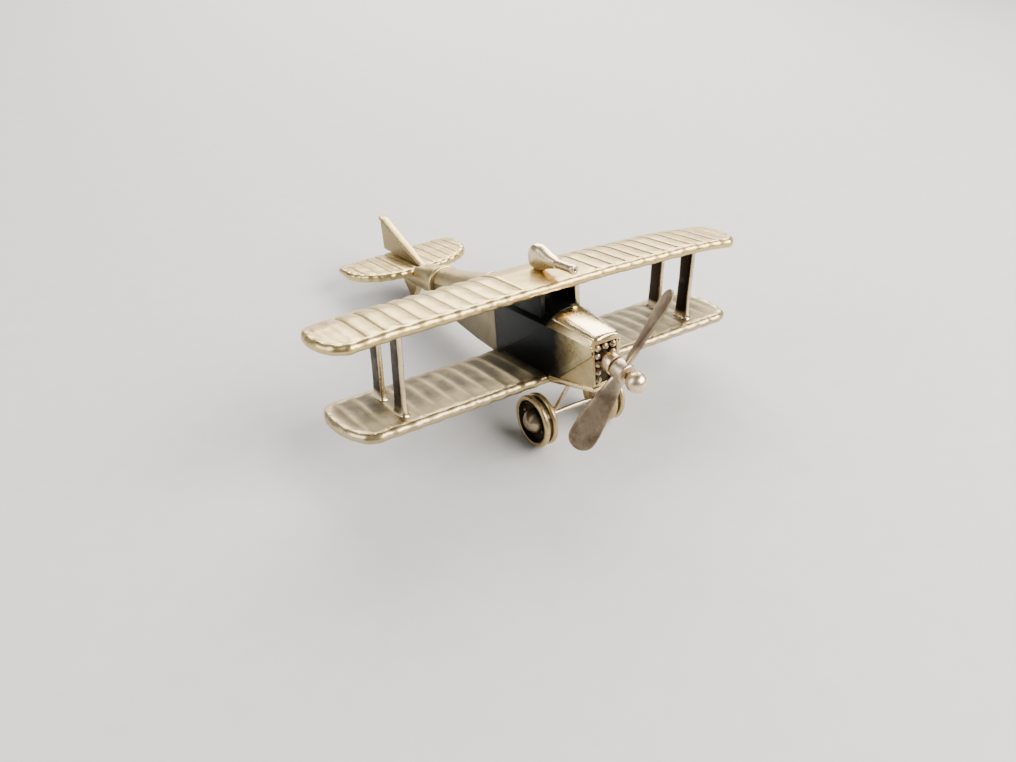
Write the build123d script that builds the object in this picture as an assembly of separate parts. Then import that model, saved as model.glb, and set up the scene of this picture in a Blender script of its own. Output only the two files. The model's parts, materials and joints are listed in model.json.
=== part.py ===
from build123d import *
import os
from math import acos, atan2, degrees, hypot

# Miniature biplane in soldered silver-coloured metal, in millimetres.
#
# Design frame: X to the aircraft's left, Y towards the tail, Z up. X = 0 is the plane of symmetry,
# Y = 0 is the leading edge of the upper wing and Z = 0 is the underside of that edge. At the end
# the aircraft is pitched nose-up onto its wheels and tail skid and centred on the floor.

SHEET = 0.35  # thickness of the body sheets

# Wings: half span, chord, and where the underside of the leading edge is.
UPPER_WING = dict(half_span=27.0, chord=9.1, y=0.0, z=0.0)
LOWER_WING = dict(half_span=25.7, chord=11.0, y=-0.15, z=-10.0)
UPPER_DROOP = (  # place along the span and how far the sheet hangs there: the left tip hangs most
    (-27.0, 0.3),
    (-24.5, 0.2),
    (-20.0, 0.0),
    (6.0, 0.0),
    (12.0, 0.2),
    (18.0, 0.38),
    (22.0, 0.7),
    (24.5, 1.0),
    (27.0, 1.2),
)
LOWER_DROOP = ((-25.7, 0.0), (25.7, 0.0))
WING_TOP = 1.2  # crown above the underside of the leading edge
WING_UNDERSIDE = 0.75  # flat underside above the underside of the leading edge
LIP_END = 1.7  # chordwise end of the turned-down leading edge
CROWN_END = 0.8  # fraction of the chord where the flat crown ends
TRAILING_TOP = 0.5  # top of the trailing edge above the underside of the leading edge
TRAILING_THICKNESS = 0.3
TIP_REACH = 2.8  # length of the rounded tips along the span
TIP_CORNER = 0.56  # fraction of the chord taken by the front curve of a tip
RIB_PITCH = 1.95
RIB_GROOVE_WIDTH = 0.22
RIB_GROOVE_DEPTH = 0.12
UPPER_FIRST_GROOVE = 4.9
LOWER_FIRST_GROOVE = 4.0
GROOVES_PER_SIDE = 10

# Interplane struts: flat strips with round edges that lean forward at the top.
STRUT_CHORD = 2.0
STRUT_THICKNESS = 0.6
STRUT_X = 19.15
FRONT_STRUT_Y = 2.7
REAR_STRUT_Y = 7.6
STRUT_RAKE = 1.15

# Body behind the nose. Stations: y, half width, bottom, top of the sides, crown of the deck.
BODY_FRONT = -0.4
BODY_STEP = 9.8
BODY_END = 26.4
BODY_HALF_WIDTH = 3.0
BODY_BOTTOM = LOWER_WING["z"] + WING_TOP
SIDE_TOP = -3.1
DECK_CROWN = -1.8
AFT_STATIONS = (
    (BODY_STEP, BODY_HALF_WIDTH, -9.5, SIDE_TOP, DECK_CROWN),
    (15.0, 2.655, -9.35, -3.7, -1.85),
    (21.0, 2.257, -8.85, -4.7, -3.05),
    (BODY_END, 1.9, -8.0, -5.5, -3.9),
)
COCKPIT_Y = 12.7
COCKPIT_RADII = (1.3, 1.9)
COCKPIT_RIM = 0.35

# Cabane plates between the body and the upper wing.
CABANE_Y = (1.0, 6.2)
CABANE_X = (2.0, 2.6)

# Nose: it narrows from the body to a square front face.
NOSE_FRONT = -6.5
NOSE_HALF_WIDTH = 1.95
NOSE_BOTTOM = -8.5
NOSE_SIDE_TOP = -3.95
RIDGE_HALF_WIDTHS = (2.25, 1.65)  # edge of the hood seat, at the back and at the front
RIDGE_Z = (-2.65, -3.25)
HOOD_FRONT = -6.9
HOOD_HALF_WIDTHS = (2.15, 1.6)
HOOD_CROWN = (-1.95, -2.85)
CHIN_INSET = 0.18  # the chin stands this far inside the side sheets
SIDE_CUT = ((-1.6, -8.8), (-6.5, -4.9))  # diagonal lower edge of the side sheets: (y, z) ends
CHIN_PLATE = ((-6.65, -8.85), (-5.0, -9.05), (-3.2, -9.25), (-1.8, -9.45), (-0.35, -9.6))
FACE_DEPTH = 0.45
FACE_HALF_WIDTH = 1.42
FACE_TOP = -3.85
FACE_BOTTOM = -8.2
BEAD_RADIUS = 0.4
BEAD_X = 1.0
BEAD_ROWS = (-4.3, -5.18, -6.06, -6.94, -7.78)

# Propeller, with its shaft drooped a little from the body axis.
PROP_DROOP = 13.0
PROP_CENTRE = (0.0, -9.05, -6.2)
PROP_RADIUS = 9.4
PROP_ANGLE = 31.0  # of the upper blade, from upright towards the aircraft's left
HUB_RADIUS = 1.15
HUB_LENGTH = 1.7
HUB_BORE = 0.43
PIN_RADIUS = 0.38
PIN_BALL_RADIUS = 1.1
PIN_BALL_FORWARD = 2.14  # ball centre ahead of the hub centre
PIN_BACK = 4.6  # end of the pin behind the hub centre
SPACER_BACK_GAP = 0.2
SPACER_RADII = (1.1, 0.6)  # ahead of the front face and inside its recess
SPACER_STEP = 2.15  # distance behind the hub centre where the spacer steps down
BLADE_STATIONS = (  # distance from the shaft, width, thickness, pitch in degrees
    (0.5, 1.3, 0.8, 50.0),
    (2.6, 1.9, 0.66, 52.0),
    (5.2, 2.75, 0.54, 55.0),
    (7.4, 3.0, 0.46, 58.0),
    (8.7, 2.4, 0.4, 58.0),
    (PROP_RADIUS, 0.9, 0.3, 58.0),
)

# Wheels and undercarriage.
AXLE_Y = -0.1
AXLE_Z = -13.7
AXLE_RADIUS = 0.3
WHEEL_RADIUS = 3.0
WHEEL_INNER_X = 3.75
WHEEL_BORE = 0.35
WHEEL_PROFILE = (  # (distance from the inner face of the rim, radius), boss first
    (-0.3, WHEEL_BORE),
    (-0.3, 0.65),
    (0.12, 0.8),
    (0.4, 1.1),
    (0.4, 2.15),
    (0.0, 2.35),
    (0.0, 2.86),
    (0.16, WHEEL_RADIUS),
    (0.55, WHEEL_RADIUS),
    (0.87, 2.7),
    (1.2, WHEEL_RADIUS),
    (1.59, WHEEL_RADIUS),
    (1.75, 2.86),
    (1.75, 2.45),
    (0.9, 2.2),
    (0.9, WHEEL_BORE),
)
CAP_RADIUS = 1.4
CAP_GAP = 0.15
LEG_RADIUS = 0.25
LEG = ((3.1, -0.45, -13.6), (2.1, -3.0, -9.0))  # foot and head

# Tail.
CONE_RADII = (2.15, 1.35)
CONE_END = 37.0
CONE_Z = (-6.0, -6.6)
CONE_RIM_RADIUS = 0.3
TAILPLANE_HALF_SPAN = 9.1
TAILPLANE_Z = (-5.5, -5.0)
TAILPLANE_LIP_Z = -6.05  # lowest edge of the turned-down leading edge
TAILPLANE_LIP_DEPTH = 0.6
TAILPLANE_TILT = 2.0  # the left end is soldered on a little high
TAILPLANE_OFFSET = 0.35  # and the sheet a little to the left
TAILPLANE_LEADING = ((0.0, 32.3), (1.5, 32.35), (4.0, 32.75), (6.2, 33.9), (7.9, 35.8))
TAILPLANE_TIP_Y = 38.6
TAILPLANE_TRAILING_Y = 42.2
TAILPLANE_CORNER = 1.5
TAILPLANE_GROOVES = (1.5, 3.0, 4.5, 6.0, 7.5)
FIN_PROFILE = ((31.5, -5.0), (43.0, -0.1), (44.1, -1.0), (44.1, -5.4), (42.4, -5.4), (42.4, -5.1))
FIN_THICKNESS = 0.8
FIN_EDGE_RADIUS = 0.75
SKID_PROFILE = ((33.8, -7.2), (38.2, -7.3), (37.9, -8.5), (36.4, -10.0), (35.5, -10.0), (34.6, -9.1))
SKID_THICKNESS = 0.9

# Gun on the upper wing.
GUN_FACE_Y = 2.2
BREECH_PROFILE = ((2.2, 1.2), (5.4, 1.2), (6.0, 2.3), (5.6, 3.5), (4.8, 4.1), (3.6, 4.05), (2.2, 3.3))
BREECH_WIDTH = 1.75
BARREL_Z = 2.62
BARREL_RADIUS = 0.55
BARREL_BORE = 0.32
MUZZLE_Y = -1.8


# Helpers. Outlines across the body are (x, z) points, outlines along it are (y, z) points.


def slab(points, x_low, x_high):
    """Outline along the body, given thickness between two places in x."""
    face = make_face(Polyline(*[Vector(x_low, y, z) for y, z in points], close=True))
    return extrude(face, x_high - x_low, dir=(1, 0, 0))


def cross_face(y, points):
    return make_face(Polyline(*[Vector(x, y, z) for x, z in points], close=True))


def arch_face(y, half_width, spring, crown):
    """Half-round outline across the body on a straight base."""
    left, right = Vector(-half_width, y, spring), Vector(half_width, y, spring)
    return make_face([ThreePointArc(left, Vector(0, y, crown), right), Line(right, left)])


def bar(start, end, radius):
    """Round bar from one point to another."""
    axis = Vector(*end) - Vector(*start)
    return extrude(Plane(origin=start, z_dir=axis) * Circle(radius), axis.length)


def on_side(shape, sign):
    """The shape itself on the left, its mirror image on the right."""
    return shape if sign > 0 else mirror(shape, about=Plane.YZ)


def between(y, y_ends, values):
    """Value at y on the straight line between two ends."""
    share = (y - y_ends[0]) / (y_ends[1] - y_ends[0])
    return values[0] + share * (values[1] - values[0])


# Wings.


def wing_section(chord):
    """Cross-section of a wing, back from its leading edge and up from that edge's underside."""
    flat_end = CROWN_END * chord
    lip = ThreePointArc(Vector(0, 0.95, 0.35), Vector(0, 0.4, 0.0), Vector(0, 0.0, 0.5))
    brow = ThreePointArc(Vector(0, 0.0, 0.5), Vector(0, 0.2, 0.92), Vector(0, 0.75, 1.12))
    rest = Polyline(
        Vector(0, 0.75, 1.12),
        Vector(0, 1.6, WING_TOP),
        Vector(0, flat_end, WING_TOP),
        Vector(0, chord, TRAILING_TOP),
        Vector(0, chord, TRAILING_TOP - TRAILING_THICKNESS),
        Vector(0, flat_end, WING_UNDERSIDE),
        Vector(0, LIP_END, WING_UNDERSIDE),
        Vector(0, 0.95, 0.35),
    )
    return make_face([lip, brow, rest])


def wing_planform(half_span, chord):
    """Outline from above: straight edges, and two quarter ellipses around each tip."""
    front = TIP_CORNER * chord
    straight = half_span - TIP_REACH
    middle = Rectangle(2 * straight, chord).moved(Location((0, chord / 2)))
    tips = Ellipse(TIP_REACH, front) & Rectangle(2 * half_span, 2 * front).moved(Location((0, -front)))
    back = chord - front
    tips += Ellipse(TIP_REACH, back) & Rectangle(2 * half_span, 2 * back).moved(Location((0, back)))
    outline = middle
    for sign in (-1, 1):
        outline += tips.moved(Location((sign * straight, front)))
    return outline


def groove_cutter(chord):
    """Metal that one rib groove takes away from the top of a wing."""
    flat_end = CROWN_END * chord
    floor = WING_TOP - RIB_GROOVE_DEPTH
    points = (
        (0.35, 0.85),
        (1.6, floor),
        (flat_end, floor),
        (chord + 0.2, TRAILING_TOP - RIB_GROOVE_DEPTH),
        (chord + 0.2, WING_TOP + 1),
        (0.35, WING_TOP + 1),
    )
    return slab(points, -RIB_GROOVE_WIDTH / 2, RIB_GROOVE_WIDTH / 2)


def droop_at(x, droop):
    """How far a wing hangs at one place along the span."""
    for (x_low, low), (x_high, high) in zip(droop, droop[1:]):
        if x_low <= x <= x_high:
            return between(x, (x_low, x_high), (low, high))
    return 0.0


def wing(half_span, chord, y, z, first_groove, droop):
    """Cambered sheet with a turned-down leading edge, rib grooves and rounded tips."""
    section = wing_section(chord)
    sheet = loft([section.moved(Location((x, 0, -hang))) for x, hang in droop], ruled=True)
    sheet &= extrude(wing_planform(half_span, chord), 5).moved(Location((0, 0, -2)))
    cutter = groove_cutter(chord)
    for index in range(GROOVES_PER_SIDE):
        for sign in (-1, 1):
            place = sign * (first_groove + index * RIB_PITCH)
            sheet -= cutter.moved(Location((place, 0, -droop_at(place, droop))))
    return sheet.moved(Location((0, y, z)))


def upper_wing():
    return wing(**UPPER_WING, first_groove=UPPER_FIRST_GROOVE, droop=UPPER_DROOP)


def lower_wing():
    """The lower wing passes under the body, which stands in a notch in its trailing edge."""
    notch = Box(2 * BODY_HALF_WIDTH + 0.04, 4, 6).moved(Location((0, BODY_STEP - 0.05 + 2, -9)))
    return wing(**LOWER_WING, first_groove=LOWER_FIRST_GROOVE, droop=LOWER_DROOP) - notch


def strut(foot_y, sign):
    """Flat strip standing on the lower wing and fitted under the upper one."""
    outline = SlotOverall(STRUT_CHORD, STRUT_THICKNESS, rotation=90)
    foot = outline.moved(Location((sign * STRUT_X, foot_y, BODY_BOTTOM)))
    top = WING_UNDERSIDE - droop_at(sign * STRUT_X, UPPER_DROOP)
    head = outline.moved(Location((sign * STRUT_X, foot_y - STRUT_RAKE, top + 0.1)))
    return loft([foot, head]) - upper_wing()


# Body.


def nose_half_width(y):
    return between(y, (BODY_FRONT, NOSE_FRONT), (BODY_HALF_WIDTH, NOSE_HALF_WIDTH))


def nose_side(inset):
    """Nose below its shoulders, inset from the outside of the side sheets."""
    ends = []
    for y, bottom, top in (
        (BODY_FRONT, BODY_BOTTOM, SIDE_TOP),
        (NOSE_FRONT, NOSE_BOTTOM, NOSE_SIDE_TOP),
    ):
        half = nose_half_width(y) - inset
        ends.append(cross_face(y, ((-half, bottom), (half, bottom), (half, top), (-half, top))))
    return loft(ends, ruled=True)


def nose_shoulders():
    """Bevelled top of the nose, from the tops of the side sheets up to the hood seat."""
    ends = []
    for y, top, ridge, ridge_z in (
        (BODY_FRONT, SIDE_TOP, RIDGE_HALF_WIDTHS[0], RIDGE_Z[0]),
        (NOSE_FRONT, NOSE_SIDE_TOP, RIDGE_HALF_WIDTHS[1], RIDGE_Z[1]),
    ):
        half = nose_half_width(y)
        ends.append(cross_face(y, ((-half, top), (half, top), (ridge, ridge_z), (-ridge, ridge_z))))
    return loft(ends, ruled=True)


def chin_region():
    """Everything below the diagonal lower edge of the side sheets."""
    (y_back, z_back), (y_front, z_front) = SIDE_CUT
    slope = (z_front - z_back) / (y_front - y_back)
    line = [(y, z_back + slope * (y - y_back)) for y in (BODY_FRONT, NOSE_FRONT - 1)]
    return slab(line + [(NOSE_FRONT - 1, -12), (BODY_FRONT, -12)], -5, 5)


def nose_block():
    """Solid nose with a recessed front face, set in behind the side sheets."""
    block = nose_side(SHEET) + (nose_side(CHIN_INSET) & chin_region()) + nose_shoulders()
    pocket = Box(2 * FACE_HALF_WIDTH, 2 * FACE_DEPTH, FACE_TOP - FACE_BOTTOM)
    return block - pocket.moved(Location((0, NOSE_FRONT, (FACE_TOP + FACE_BOTTOM) / 2))) - pin_shaft()


def wing_seat(y):
    """Height of the lower wing's top surface behind its crown."""
    chord = LOWER_WING["chord"]
    ends = (LOWER_WING["y"] + CROWN_END * chord, LOWER_WING["y"] + chord)
    return LOWER_WING["z"] + between(y, ends, (WING_TOP, TRAILING_TOP))


def body_side(sign):
    """Polished side sheet, bent in towards the nose and cut diagonally above the chin."""
    crown_end = LOWER_WING["y"] + CROWN_END * LOWER_WING["chord"]
    outline = (
        (BODY_FRONT, BODY_BOTTOM),
        (crown_end, BODY_BOTTOM),
        (BODY_STEP, wing_seat(BODY_STEP)),
        (BODY_STEP, SIDE_TOP),
        (BODY_FRONT, SIDE_TOP),
    )
    flat = slab(outline, BODY_HALF_WIDTH - SHEET, BODY_HALF_WIDTH)
    bent = nose_side(0) - nose_side(SHEET) - chin_region()
    bent &= Box(10, 20, 20).moved(Location((5, 0, -5)))
    return on_side(flat + bent, sign)


def chin_plate():
    """Curved plate under the nose that carries the undercarriage legs."""
    sections = []
    for y, bottom in CHIN_PLATE:
        half = nose_half_width(y) - 0.05
        top = between(y, (BODY_FRONT, NOSE_FRONT), (BODY_BOTTOM, NOSE_BOTTOM))
        sections.append(cross_face(y, ((-half, bottom), (half, bottom), (half, top), (-half, top))))
    return loft(sections, ruled=True)


def engine_hood():
    """Rounded cap along the top of the nose, a little longer than it."""
    sections = []
    for y, half, crown in zip((BODY_FRONT, HOOD_FRONT), HOOD_HALF_WIDTHS, HOOD_CROWN):
        seat = between(y, (BODY_FRONT, NOSE_FRONT), RIDGE_Z)
        sections.append(arch_face(y, half, seat, crown))
    return loft(sections)


def front_beads():
    """Solder beads around the recessed front face: a column on each side and one in the top row."""
    floor = NOSE_FRONT + FACE_DEPTH
    places = [(side * BEAD_X, z) for side in (-1, 1) for z in BEAD_ROWS]
    places.append((0.0, BEAD_ROWS[0]))
    behind = Box(1, 1, 1).moved(Location((0, 0.5 + 0.6 * BEAD_RADIUS, 0)))
    bead = Sphere(BEAD_RADIUS) - behind
    return Compound(children=[bead.moved(Location((x, floor - 0.6 * BEAD_RADIUS, z))) for x, z in places])


def deck(stations):
    """Half-round deck sheet through stations of (y, half width, spring line, crown)."""
    outer = loft([arch_face(*station) for station in stations], ruled=True)
    inner = [arch_face(y, half - SHEET, spring, crown - SHEET) for y, half, spring, crown in stations]
    return outer - loft(inner, ruled=True)


def forward_deck():
    return deck([(y, BODY_HALF_WIDTH, SIDE_TOP, DECK_CROWN) for y in (BODY_FRONT, BODY_STEP)])


def cockpit_column(grow):
    """Upright oval column through the cockpit opening."""
    outline = Ellipse(COCKPIT_RADII[0] + grow, COCKPIT_RADII[1] + grow)
    return extrude(outline, 3).moved(Location((0, COCKPIT_Y, -3.4)))


def aft_deck():
    stations = [(y, half, top, crown) for y, half, _, top, crown in AFT_STATIONS]
    return deck(stations) - cockpit_column(0)


def cockpit_rim():
    """Low coaming on the deck around the cockpit opening."""
    stations = [(y, half, top, crown) for y, half, _, top, crown in AFT_STATIONS[:2]]
    raised = loft([arch_face(y, half, top, crown + 0.3) for y, half, top, crown in stations], ruled=True)
    surface = loft([arch_face(*station) for station in stations], ruled=True)
    return (cockpit_column(COCKPIT_RIM) - cockpit_column(0)) & (raised - surface)


def aft_side(sign):
    """Side sheet behind the wings, narrowing towards the tail."""
    sections = []
    for y, half, bottom, top, _ in AFT_STATIONS:
        inner = half - SHEET
        sections.append(cross_face(y, ((inner, bottom), (half, bottom), (half, top), (inner, top))))
    return on_side(loft(sections, ruled=True), sign)


def belly_plate():
    """Bottom sheet between the side sheets, rising towards the tail."""
    sections = []
    for y, half, bottom, _, _ in AFT_STATIONS:
        inner, top = half - SHEET, bottom + SHEET
        sections.append(cross_face(y, ((-inner, bottom), (inner, bottom), (inner, top), (-inner, top))))
    return loft(sections, ruled=True)


def cabane_plate(sign):
    """Plate that carries the upper wing on the deck, fitted to both."""
    front, back = CABANE_Y
    lip_z = between(front, (0.95, LIP_END), (0.35, WING_UNDERSIDE))
    outline = (
        (front, -2.9),
        (back, -2.9),
        (back, WING_UNDERSIDE),
        (LIP_END, WING_UNDERSIDE),
        (front, lip_z),
    )
    body = loft([arch_face(y, BODY_HALF_WIDTH, SIDE_TOP, DECK_CROWN) for y in (BODY_FRONT, BODY_STEP)])
    return on_side(slab(outline, *CABANE_X) - body, sign)


# Propeller and its pin, made with the shaft along Y and the hub at the origin, then put in place.


def on_shaft(shape):
    return shape.rotate(Axis.X, PROP_DROOP).moved(Location(PROP_CENTRE))


def shaft_bar(front, back, radius):
    """Round bar along the shaft between two distances behind the hub centre."""
    return bar((0, front, 0), (0, back, 0), radius)


def blade():
    """Twisted blade standing upright on the hub."""
    sections = []
    for reach, width, thickness, pitch in BLADE_STATIONS:
        sections.append(Ellipse(width / 2, thickness / 2).moved(Location((0, 0, reach), (0, 0, pitch))))
    return loft(sections)


def propeller():
    hub = shaft_bar(-HUB_LENGTH / 2, HUB_LENGTH / 2, HUB_RADIUS)
    for angle in (PROP_ANGLE, PROP_ANGLE + 180):
        hub += blade().rotate(Axis.Y, angle)
    return on_shaft(hub - shaft_bar(-2, 2, HUB_BORE))


def pin_shaft():
    return on_shaft(shaft_bar(-PIN_BALL_FORWARD, PIN_BACK, PIN_RADIUS))


def propeller_pin():
    """Pin with a ball head that holds the propeller on the nose."""
    ball = on_shaft(Sphere(PIN_BALL_RADIUS).moved(Location((0, -PIN_BALL_FORWARD, 0))))
    return pin_shaft() + ball


def propeller_spacer():
    """Stepped collar between the propeller and the recessed front face."""
    front = HUB_LENGTH / 2 + SPACER_BACK_GAP
    collar = shaft_bar(front, SPACER_STEP, SPACER_RADII[0]) + shaft_bar(front, PIN_BACK, SPACER_RADII[1])
    floor = NOSE_FRONT + FACE_DEPTH
    behind = Box(8, 8, 8).moved(Location((0, floor + 4, PROP_CENTRE[2])))
    return on_shaft(collar) - behind - pin_shaft()


# Wheels and undercarriage.


def wheel(sign):
    """Dished wheel with a double rim."""
    points = [Vector(WHEEL_INNER_X + x, 0, radius) for x, radius in WHEEL_PROFILE]
    face = make_face(Polyline(*points, close=True))
    return on_side(revolve(face, Axis.X, 360).moved(Location((0, AXLE_Y, AXLE_Z))), sign)


def cap_x():
    """Where the flat back of a hub cap is."""
    return WHEEL_INNER_X + WHEEL_PROFILE[-1][0] + CAP_GAP


def axle():
    return bar((-cap_x(), AXLE_Y, AXLE_Z), (cap_x(), AXLE_Y, AXLE_Z), AXLE_RADIUS)


def hub_cap(sign):
    """Domed rivet head on the end of the axle."""
    inside = Box(4, 4, 4).moved(Location((-2, 0, 0)))
    return on_side((Sphere(CAP_RADIUS) - inside).moved(Location((cap_x(), AXLE_Y, AXLE_Z))), sign)


def leg(sign):
    return on_side(bar(*LEG, LEG_RADIUS), sign) - axle() - chin_plate()


# Tail.


def tail_cone_solid():
    ends = []
    for y, radius, z in zip((BODY_END, CONE_END), CONE_RADII, CONE_Z):
        ends.append(Plane(origin=(0, y, z), z_dir=(0, 1, 0)) * Circle(radius))
    return loft(ends)


def tail_cone():
    """Round sleeve with a rolled rim on the end of the body, notched for the tailplane."""
    rim = Plane(origin=(0, BODY_END + CONE_RIM_RADIUS, CONE_Z[0]), z_dir=(0, 1, 0)) * Torus(
        CONE_RADII[0], CONE_RIM_RADIUS
    )
    seat = extrude(tailplane_planform(), 4).moved(Location((0, 0, TAILPLANE_Z[0])))
    return tail_cone_solid() + rim - tilted(seat)


def tailplane_planform():
    """Rounded leading edge, straight trailing edge with rounded corners."""
    tip = (TAILPLANE_HALF_SPAN, TAILPLANE_TIP_Y)
    right = [(x, y) for x, y in TAILPLANE_LEADING] + [tip]
    left = [(-x, y) for x, y in reversed(right[1:])]
    leading = Spline(*(left + right))
    corner = TAILPLANE_CORNER
    back = TAILPLANE_TRAILING_Y
    half = TAILPLANE_HALF_SPAN
    edges = [leading]
    for sign in (-1, 1):
        edges.append(Line((sign * half, TAILPLANE_TIP_Y), (sign * half, back - corner)))
        inner = 0.293 * corner
        edges.append(
            ThreePointArc(
                (sign * half, back - corner),
                (sign * (half - inner), back - inner),
                (sign * (half - corner), back),
            )
        )
    edges.append(Line((half - corner, back), (corner - half, back)))
    return make_face(edges)


def tilted(shape):
    """Turn and shift a shape to where the tailplane is soldered on."""
    pivot = Axis((0, 0, TAILPLANE_Z[1]), (0, -1, 0))
    return shape.rotate(pivot, TAILPLANE_TILT).moved(Location((TAILPLANE_OFFSET, 0, 0)))


def tailplane():
    """Ribbed sheet with a turned-down leading edge."""
    low, high = TAILPLANE_Z
    planform = tailplane_planform()
    sheet = extrude(planform, high - low).moved(Location((0, 0, low)))
    lip = extrude(planform, low - TAILPLANE_LIP_Z)
    lip -= extrude(planform, 4).moved(Location((0, TAILPLANE_LIP_DEPTH, -1)))
    sheet += lip.moved(Location((0, 0, TAILPLANE_LIP_Z)))
    groove = Box(RIB_GROOVE_WIDTH, 30, 2 * RIB_GROOVE_DEPTH)
    for place in TAILPLANE_GROOVES:
        sheet -= [groove.moved(Location((sign * place, TAILPLANE_TIP_Y, high))) for sign in (-1, 1)]
    return tilted(sheet) - tail_cone_solid_below()


def tail_cone_solid_below():
    """The tail cone where it stays under the tailplane's sheet."""
    above = Box(8, 40, 8).moved(Location((0, TAILPLANE_TIP_Y, TAILPLANE_Z[0] + 4)))
    return tail_cone_solid() - tilted(above)


def fin():
    """Flat fin with a round bar along its leading edge."""
    plate = slab(FIN_PROFILE, -FIN_THICKNESS / 2, FIN_THICKNESS / 2)
    (y_low, z_low), (y_high, z_high) = FIN_PROFILE[:2]
    sunk = FIN_EDGE_RADIUS * 0.6
    edge = bar((0, y_low + sunk, z_low - sunk), (0, y_high, z_high - sunk), FIN_EDGE_RADIUS)
    below = Box(4, 30, 4).moved(Location((0, y_low, FIN_PROFILE[0][1] - 2)))
    return plate + (edge - below) - tailplane() - tail_cone()


def tail_skid():
    """Plate under the tail that rests on the floor."""
    return slab(SKID_PROFILE, -SKID_THICKNESS / 2, SKID_THICKNESS / 2) - tail_cone_solid()


# Gun.


def gun_breech():
    return slab(BREECH_PROFILE, -BREECH_WIDTH / 2, BREECH_WIDTH / 2)


def gun_barrel():
    barrel = bar((0, GUN_FACE_Y, BARREL_Z), (0, MUZZLE_Y, BARREL_Z), BARREL_RADIUS)
    return barrel - bar((0, MUZZLE_Y + 1.5, BARREL_Z), (0, MUZZLE_Y - 1, BARREL_Z), BARREL_BORE)


def aircraft():
    """Every part by name, in the design frame."""
    parts = {
        "upper_wing": upper_wing(),
        "lower_wing": lower_wing(),
        "nose_block": nose_block(),
        "front_beads": front_beads(),
        "chin_plate": chin_plate(),
        "engine_hood": engine_hood(),
        "forward_deck": forward_deck(),
        "aft_deck": aft_deck(),
        "cockpit_rim": cockpit_rim(),
        "belly_plate": belly_plate(),
        "tail_cone": tail_cone(),
        "tailplane": tailplane(),
        "fin": fin(),
        "tail_skid": tail_skid(),
        "propeller": propeller(),
        "propeller_pin": propeller_pin(),
        "propeller_spacer": propeller_spacer(),
        "axle": axle(),
        "gun_breech": gun_breech(),
        "gun_barrel": gun_barrel(),
    }
    for side, sign in (("left", 1), ("right", -1)):
        parts["body_side_" + side] = body_side(sign)
        parts["aft_side_" + side] = aft_side(sign)
        parts["cabane_plate_" + side] = cabane_plate(sign)
        parts["strut_front_" + side] = strut(FRONT_STRUT_Y, sign)
        parts["strut_rear_" + side] = strut(REAR_STRUT_Y, sign)
        parts["wheel_" + side] = wheel(sign)
        parts["hub_cap_" + side] = hub_cap(sign)
        parts["leg_" + side] = leg(sign)
    return parts


def resting_pitch():
    """Nose-up angle that puts the wheels and the skid on one level floor, in degrees."""
    y, z = SKID_PROFILE[3]
    back, up = y - AXLE_Y, z - AXLE_Z
    return degrees(acos(-WHEEL_RADIUS / hypot(back, up)) - atan2(back, up))


def main():
    parts = {name: shape.rotate(Axis.X, -resting_pitch()) for name, shape in aircraft().items()}
    boxes = [shape.bounding_box() for shape in parts.values()]
    front, back = min(box.min.Y for box in boxes), max(box.max.Y for box in boxes)
    shift = Vector(0, -(front + back) / 2, -min(box.min.Z for box in boxes))
    os.makedirs("parts", exist_ok=True)
    for name, shape in parts.items():
        export_step(shape.moved(Location(shift)), "parts/" + name + ".step")
    marks = (
        ("hub", PROP_CENTRE),
        ("axle", (0, AXLE_Y, AXLE_Z)),
        ("origin", (0, 0, 0)),
    )
    print("pitch", resting_pitch())
    for name, place in marks:
        print(name, Vector(*place).rotate(Axis.X, -resting_pitch()) + shift)


main()
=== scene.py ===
import json
import math
from types import SimpleNamespace

import bmesh
import bpy
import numpy as np
from mathutils import Matrix, Vector, noise


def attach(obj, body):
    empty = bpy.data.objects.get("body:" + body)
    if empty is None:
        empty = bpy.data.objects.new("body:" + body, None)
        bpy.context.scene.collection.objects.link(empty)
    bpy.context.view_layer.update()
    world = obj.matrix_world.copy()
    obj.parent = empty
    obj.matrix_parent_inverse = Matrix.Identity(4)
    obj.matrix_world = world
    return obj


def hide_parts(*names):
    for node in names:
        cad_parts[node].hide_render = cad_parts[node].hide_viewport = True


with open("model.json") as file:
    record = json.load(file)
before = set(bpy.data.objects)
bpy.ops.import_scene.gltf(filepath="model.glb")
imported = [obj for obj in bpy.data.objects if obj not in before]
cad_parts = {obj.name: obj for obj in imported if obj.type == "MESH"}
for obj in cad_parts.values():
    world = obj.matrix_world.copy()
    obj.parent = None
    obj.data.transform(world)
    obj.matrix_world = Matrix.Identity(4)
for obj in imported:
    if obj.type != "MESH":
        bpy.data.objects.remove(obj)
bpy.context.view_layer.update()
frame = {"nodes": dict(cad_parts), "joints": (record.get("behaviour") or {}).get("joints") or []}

# The meshes below are worked out in the aircraft's own frame, in millimetres: X to its left, Y towards
# the tail and Z up, with the upper wing's leading edge at Y = 0 and the body level. row() pitches them
# nose-up and moves them to where the frame's propeller joint says they stand, in metres.

PITCH = math.radians(10.478761)
HUB = np.array((0.0, -9.05, -6.2))
AXLE = np.array((0.0, -0.1, -13.7))
PROP_DROOP = math.radians(13.0)
PROP_ANGLE = math.radians(31.0)
RIB_PITCH = 1.95
SIDES = (("left", 1), ("right", -1))


def turned(points):
    """Directions or places turned from the aircraft's level frame to the row frame."""
    points = np.asarray(points, float)
    c, s = math.cos(PITCH), math.sin(PITCH)
    x, y, z = points[..., 0], points[..., 1], points[..., 2]
    return np.stack((x, y * c + z * s, z * c - y * s), -1)


hub_joint = next(joint for joint in frame["joints"] if joint["name"] == "propeller_spin")
SHIFT = np.array(hub_joint["pos_m"]) - turned(HUB) * 0.001


def row(points):
    """Places in the row frame, in metres."""
    return turned(points) * 0.001 + SHIFT


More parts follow.
